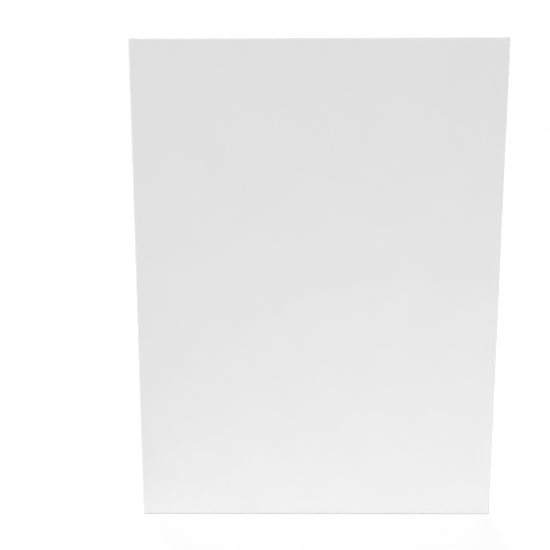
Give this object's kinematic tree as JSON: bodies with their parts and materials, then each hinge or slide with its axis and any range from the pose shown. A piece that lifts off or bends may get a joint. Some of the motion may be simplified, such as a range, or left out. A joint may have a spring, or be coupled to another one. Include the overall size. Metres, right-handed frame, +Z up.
{
  "type": "stretched canvas",
  "caption": "Portrait stretched canvas: primed cloth on a mitred wooden stretcher frame with a mid-height brace, stapled at the back.",
  "frame": {"origin": "middle of the bottom edge: centre of the width and of the depth, at the lowest face", "axes": "+Z up the height, +X to the right of a person who looks at the painting face, +Y out of the stapled back; the painting face looks along -Y"},
  "size_m": [0.4572, 0.019, 0.6096],
  "materials": {
    "pine_bar": "planed pine, unfinished, streaky grain",
    "pine_brace": "planed pine, unfinished, even grain",
    "primed_cloth": "cotton canvas primed white on the outside, raw cream on the inside",
    "staple_wire": "galvanised flat staple wire"
  },
  "bodies": {
    "root": {"stretcher_bar_top": "pine_bar", "stretcher_bar_bottom": "pine_bar", "stretcher_bar_left": "pine_bar", "stretcher_bar_right": "pine_bar", "cross_brace": "pine_brace", "canvas": "primed_cloth", "staples_top": "staple_wire", "staples_bottom": "staple_wire", "staples_left": "staple_wire", "staples_right": "staple_wire"}
  },
  "joints": []
}
